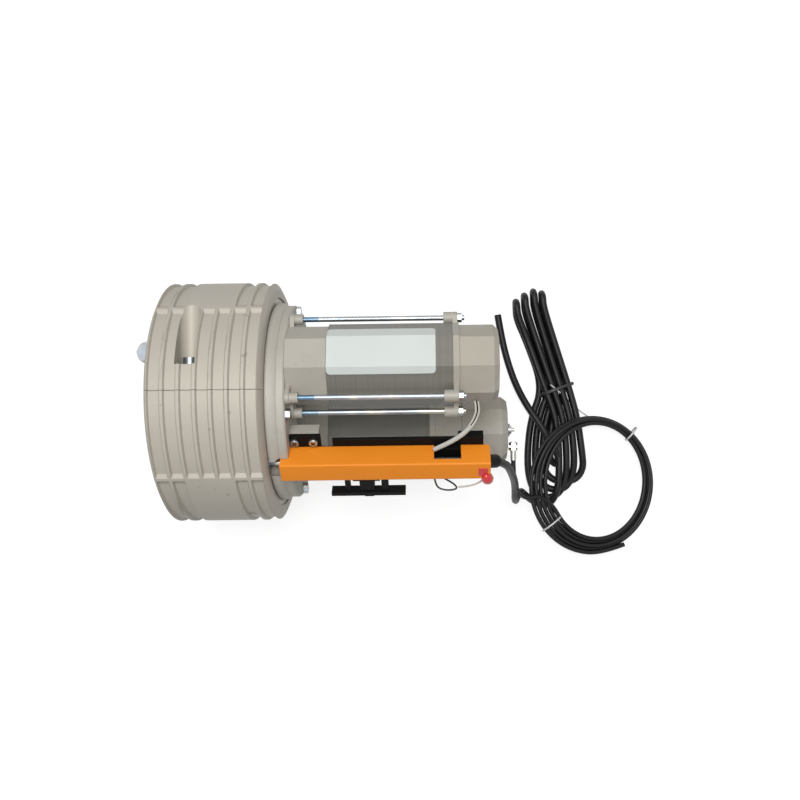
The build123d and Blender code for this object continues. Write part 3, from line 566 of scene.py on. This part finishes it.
class DRIVE_OT_drum(bpy.types.Operator):
    """Dress the split drum, its ring gears and its screws"""
    bl_idname = "drive.drum"
    bl_label = "Drum"

    def execute(self, context):
        for node in ("drum_upper_half", "drum_lower_half"):
            dress(node, "drum", 28)
        dress("drum_joint_screws", "zinc")
        for node in ("ring_gear_upper_half", "ring_gear_lower_half"):
            finish_only(node, "steel")
        finish_only("ring_gear_screws", "zinc")
        finish_only("limit_ring", "nylon")
        return {"FINISHED"}


class DRIVE_OT_gearbox(bpy.types.Operator):
    """Dress the gearbox, its cover, clamp and gear trains"""
    bl_idname = "drive.gearbox"
    bl_label = "Gearbox"

    def execute(self, context):
        for node in ("gearbox_body", "gearbox_cover", "shaft_clamp_cap"):
            dress(node, "gearbox")
        for node in ("clamp_bolt", "clamp_washer", "cover_screws"):
            dress(node, "zinc")
        for node in ("slide_ring_left", "slide_ring_right"):
            finish_only(node, "nylon")
        for node in ("layshaft_1", "layshaft_2"):
            finish_only(node, "steel")
        return {"FINISHED"}


class DRIVE_OT_motors(bpy.types.Operator):
    """Dress both motors with their rods, nuts and inner pieces"""
    bl_idname = "drive.motors"
    bl_label = "Motors"

    def execute(self, context):
        for number in (1, 2):
            motor = f"motor{number}_"
            dress(motor + "front_shield", "housing")
            dress(motor + "stator", "stator")
            dress(motor + "end_bell", "housing")
            dress(motor + "tie_rods", "rod")
            dress(motor + "nuts", "zinc")
            finish_only(motor + "windings", "copper")
            finish_only(motor + "bearings", "bearing")
            finish_only(motor + "rotor", "steel")
        self.label(context)
        return {"FINISHED"}

    def label(self, context):
        """Bare plate wrapped over the upper motor's facets."""
        thick = context.scene.drive_sizes.label_thickness
        bm = bmesh.new()
        path = ((0.0200, 0.0967), (0.0264, 0.1003), (0.0552, 0.0923), (0.0630, 0.0785))
        centre = Vector((MOTOR_Y, MOTOR_Z))
        row = []
        for y, z in path:
            out = (Vector((y, z)) - centre).normalized() * 0.00022
            row.append(bm.verts.new((LABEL_X, y + out.x, z + out.y)))
        edges = [bm.edges.new(pair) for pair in zip(row, row[1:])]
        grown = bmesh.ops.extrude_edge_only(bm, edges=edges)["geom"]
        verts = [g for g in grown if isinstance(g, bmesh.types.BMVert)]
        bmesh.ops.translate(bm, verts=verts, vec=(LABEL_LENGTH, 0, 0))
        bmesh.ops.recalc_face_normals(bm, faces=bm.faces)
        if sum(face.normal.z for face in bm.faces) < 0:
            bmesh.ops.reverse_faces(bm, faces=bm.faces)
        corners = [v for v in bm.verts if len(v.link_edges) == 2]
        bmesh.ops.bevel(bm, geom=corners, offset=0.004, segments=5, profile=0.5,
                        affect="VERTICES")
        bmesh.ops.solidify(bm, geom=bm.faces[:], thickness=-thick)
        bmesh.ops.recalc_face_normals(bm, faces=bm.faces)
        keep(from_bmesh("bare_label_plate", bm, 15), "label", "gearbox", slot="sleeve_white")


class DRIVE_OT_brake(bpy.types.Operator):
    """Dress the brake, its lever and the release cable's seat"""
    bl_idname = "drive.brake"
    bl_label = "Brake"

    def execute(self, context):
        dress("brake_cover", "housing")
        dress("brake_bracket", "zinc")
        dress("brake_lever", "zinc")
        dress("bowden_end", "zinc")
        finish_only("brake_coil", "copper")
        finish_only("brake_armature", "steel")
        finish_only("brake_disc", "lining")
        return {"FINISHED"}


class DRIVE_OT_limit_switch(bpy.types.Operator):
    """Dress the limit switch box and its small parts"""
    bl_idname = "drive.limit_switch"
    bl_label = "Limit switch"

    def execute(self, context):
        dress("limit_case", "orange")
        for node in ("limit_base", "limit_switches", "outlet_gland", "lock_bar", "lock_guide"):
            dress(node, "black")
        for node in ("limit_base_screws", "limit_screw"):
            dress(node, "zinc")
        for node in ("limit_nut_down", "limit_nut_up"):
            dress(node, "nylon")
        self.cap(context)
        self.recess_shade(context)
        return {"FINISHED"}

    def cap(self, context):
        """Glossy red drop over the box's lower edge, with the red seat it hangs from."""
        outline = ((0, 0.0), (0.0006, 0.0018), (0.0026, 0.0040), (0.0058, 0.0056),
                   (0.0092, 0.0058), (0.0120, 0.0047), (0.0140, 0.0025), (0.0146, 0.0))
        start = in_box() @ Vector((0.3070, -0.0030, 0.1066))
        end = in_box() @ Vector((0.3105, -0.0150, 0.1030))
        drop = turned_piece("red_drop_cap", outline, towards(start, end - start))
        keep(drop, "red", "gearbox", "red_cap", slot="red_plastic")
        seat = block("red_drop_seat", (0.3005, -0.0062, 0.1050), (0.3095, 0.0040, 0.1058), 0.0003,
                     in_box())
        keep(seat, "red", "gearbox", slot="red_plastic")

    def recess_shade(self, context):
        """Black bars as painted shade in the cross recesses of the two base screws."""
        bars = []
        for x in BASE_SCREWS_X:
            for turn in (38, 128):
                matrix = in_box() @ Matrix.Translation((x, 0.016, 0.0823)) @ Matrix.Rotation(
                    radians(turn), 4, "Z")
                bars.append(block("cross", (-0.0026, -0.00055, -0.0003),
                                  (0.0026, 0.00055, 0.00008), 0.0001, matrix, 1))
        # the black finish on these bars is painted shade of the zinc recesses, not a black part
        keep(joined("base_screw_recess_shade", bars), "black", "gearbox", slot="zinc")


class DRIVE_OT_leads(bpy.types.Operator):
    """Lay the sleeve and the thin leads of the motors"""
    bl_idname = "drive.leads"
    bl_label = "Motor leads"

    def execute(self, context):
        sizes = context.scene.drive_sizes
        sleeve = route("lead_sleeve_braid", millimetres((
            (259, -50.2, 72.2), (268, -46.5, 75.2), (279, -41, 76.2), (288, -34.9, 75.8),
            (294, -29, 73))), sizes.sleeve / 2)
        keep(sleeve, "sleeve", "gearbox", "lead_sleeve", slot="sleeve_white")
        for name, shift, finish in (("one", 1.4, "lead"), ("two", -1.4, "lead"),
                                    ("three", 0.2, "dark_lead")):
            wire = route(f"lead_{name}", millimetres((
                (290 + shift, -33, 74.6), (296 + shift, -26, 72), (300.5 + shift, -17, 67.5),
                (301 + shift, -10, 63.6), (300 + shift, -4.6, 62))), sizes.lead / 2, sides=3)
            keep(wire, finish, "gearbox", slot="sleeve_white")
        loop = route("box_wire_loop", millimetres((
            (259, -77.5, 57), (260, -83, 54), (263, -88, 53), (272, -90, 53), (281, -88.6, 54),
            (279, -84.5, 56), (272, -80, 58), (266, -76.5, 60))), THIN_WIRE, sides=3)
        keep(loop, "dark_lead", "gearbox", slot="black_plastic")
        wire = route("box_wire_pale", millimetres((
            (281.5, -86.6, 55), (289, -86.4, 55.5), (297, -84.6, 57), (304, -81.5, 59),
            (307, -78, 61))), THIN_WIRE, sides=3)
        keep(wire, "lead", "gearbox", slot="sleeve_white")
        return {"FINISHED"}


class DRIVE_OT_supply_cable(bpy.types.Operator):
    """Lay the supply cable with its hank and its free end"""
    bl_idname = "drive.supply_cable"
    bl_label = "Supply cable"

    def execute(self, context):
        sizes = context.scene.drive_sizes
        points = millimetres(SUPPLY_ROUTE)
        cable = route("supply_cable_run", points, sizes.supply_cable / 2)
        keep(cable, "sheath", "gearbox", "mains_cable", "mains_hank", slot="cable_black")
        round(run_length(cable), 3)
        tie = ring_tie("hank_tie", (0.3985, 0.0165, -0.1101), (0.35, -0.94, 0), 0.0205, 0.0086,
                       0.0011)
        keep(tie, "dark_lead", "gearbox", slot="cable_black")
        tail = route("hank_tie_tail", millimetres((
            (391, 20, -101.5), (398, 15, -103), (410, 4, -108.5), (420, -5, -112),
            (430, -13, -113.5), (441, -20, -114))), sizes.tie_wire * 0.7, sides=3)
        keep(tail, "tie", "gearbox", slot="sleeve_white")
        return {"FINISHED"}


class DRIVE_OT_release_cable(bpy.types.Operator):
    """Lay the release cable from its threaded end into its coil"""
    bl_idname = "drive.release_cable"
    bl_label = "Release cable"

    def execute(self, context):
        sizes = context.scene.drive_sizes
        first, last = 0.25, 0.25 + sizes.coil_turns
        steps = int(round(16 * (last - first)))
        points = millimetres(SHEATH_ROUTE)
        points.append((0.3745, -0.1050, -0.0835))
        for k in range(1, steps + 1):
            points.append(coil_point(first + (last - first) * k / steps, first, last))
        cable = route("release_cable_run", points, sizes.release_cable / 2)
        keep(cable, "sheath", "gearbox", "bowden_sheath", "bowden_coil", slot="cable_black")
        round(run_length(cable), 3)
        for name, turn, wide in (("upper", 0.985, 0.0096), ("lower", 0.455, 0.0125)):
            near = coil_point(turn + 1.9, first, last)
            ahead = coil_point(turn + 1.92, first, last)
            along = Vector(ahead) - Vector(near)
            tie = ring_tie(f"coil_tie_{name}", (near[0], near[1], near[2] + 0.0008), along, wide,
                           0.0066, sizes.tie_wire / 2)
            keep(tie, "tie", "gearbox", slot="sleeve_white")
        return {"FINISHED"}


class DRIVE_OT_stage(bpy.types.Operator):
    """Set the floor, the lights and the camera"""
    bl_idname = "drive.stage"
    bl_label = "Stage"

    def execute(self, context):
        self.floor()
        self.lights(context)
        self.camera(context)
        context.scene.view_settings.view_transform = "Standard"
        return {"FINISHED"}

    def floor(self):
        bm = bmesh.new()
        bmesh.ops.create_grid(bm, x_segments=1, y_segments=1, size=4)
        moved(bm, Matrix.Translation((0.25, 0, FLOOR_Z - 0.0002)))
        ground = from_bmesh("pale_floor", bm)
        f = Finish("pale_floor")
        seen = f.add("ShaderNodeLightPath", out="Is Camera Ray")
        mirrored = f.add("ShaderNodeLightPath", out="Is Glossy Ray")
        through = f.add("ShaderNodeLightPath", out="Is Transmission Ray")
        glow = f.add("ShaderNodeEmission", None, {"Color": (1, 1, 1), "Strength": 0.78})
        ground_shade = f.add("ShaderNodeBsdfDiffuse", None, {"Color": (0.42, 0.42, 0.42)})
        lit = f.add("ShaderNodeAddShader", None, {0: ground_shade, 1: glow})
        mixed = f.add("ShaderNodeMixShader", None,
                      {0: seen + mirrored + through, 1: ground_shade, 2: lit})
        f.add("ShaderNodeOutputMaterial", None, {"Surface": mixed}, out=None)
        ground.data.materials.append(f.material)

    def lights(self, context):
        world = bpy.data.worlds.new("pale_room")
        context.scene.world = world
        world.use_nodes = True
        tree = world.node_tree
        back = tree.nodes["Background"]
        back.inputs["Color"].default_value = (1, 1, 1, 1)
        path = tree.nodes.new("ShaderNodeLightPath")
        seen = tree.nodes.new("ShaderNodeMath")
        seen.operation = "MAXIMUM"
        tree.links.new(path.outputs["Is Camera Ray"], seen.inputs[0])
        tree.links.new(path.outputs["Is Glossy Ray"], seen.inputs[1])
        level = tree.nodes.new("ShaderNodeMapRange")
        level.inputs["To Min"].default_value = 0.25
        level.inputs["To Max"].default_value = 0.95
        tree.links.new(seen.outputs[0], level.inputs["Value"])
        tree.links.new(level.outputs["Result"], back.inputs["Strength"])
        for name, place, size, power in (
                ("ceiling_light", (0.24, 0.20, 1.55), 0.7, 16.5),
                ("window_light", (-0.25, 0.85, 1.35), 1.1, 1.0)):
            lamp = bpy.data.lights.new(name, "AREA")
            lamp.size = size
            lamp.energy = power
            holder = linked(name, lamp)
            aim = Vector((0.25, 0, 0)) - Vector(place)
            holder.location = place
            holder.rotation_euler = aim.to_track_quat("-Z", "Y").to_euler()

    def camera(self, context):
        lens = bpy.data.cameras.new("photo_camera")
        lens.lens = 40.5
        lens.sensor_width = 36
        lens.shift_x = -0.0514
        lens.shift_y = 0.0512
        holder = linked("photo_camera", lens)
        holder.location = (0.2659, -0.0422, 0.921)
        holder.rotation_euler = (0, 0, -0.013)
        context.scene.camera = holder


class DRIVE_PT_panel(bpy.types.Panel):
    bl_label = "Shutter drive"
    bl_idname = "DRIVE_PT_panel"
    bl_space_type = "VIEW_3D"
    bl_region_type = "UI"
    bl_category = "Shutter drive"

    def draw(self, context):
        for operator in OPERATORS:
            self.layout.operator(operator.bl_idname)
        for group in (context.scene.drive_sizes, context.scene.drive_colours):
            for name in group.__annotations__:
                self.layout.prop(group, name)


OPERATORS = (DRIVE_OT_drum, DRIVE_OT_gearbox, DRIVE_OT_motors, DRIVE_OT_brake,
             DRIVE_OT_limit_switch, DRIVE_OT_leads, DRIVE_OT_supply_cable,
             DRIVE_OT_release_cable, DRIVE_OT_stage)
CLASSES = (DriveColours, DriveSizes, *OPERATORS, DRIVE_PT_panel)


def register():
    for item in CLASSES:
        bpy.utils.register_class(item)
    bpy.types.Scene.drive_colours = PointerProperty(type=DriveColours)
    bpy.types.Scene.drive_sizes = PointerProperty(type=DriveSizes)


def unregister():
    del bpy.types.Scene.drive_sizes
    del bpy.types.Scene.drive_colours
    for item in reversed(CLASSES):
        bpy.utils.unregister_class(item)


def main():
    register()
    make_finishes()
    for operator in OPERATORS:
        group, name = operator.bl_idname.split(".")
        getattr(getattr(bpy.ops, group), name)()


if __name__ == "__main__":
    main()
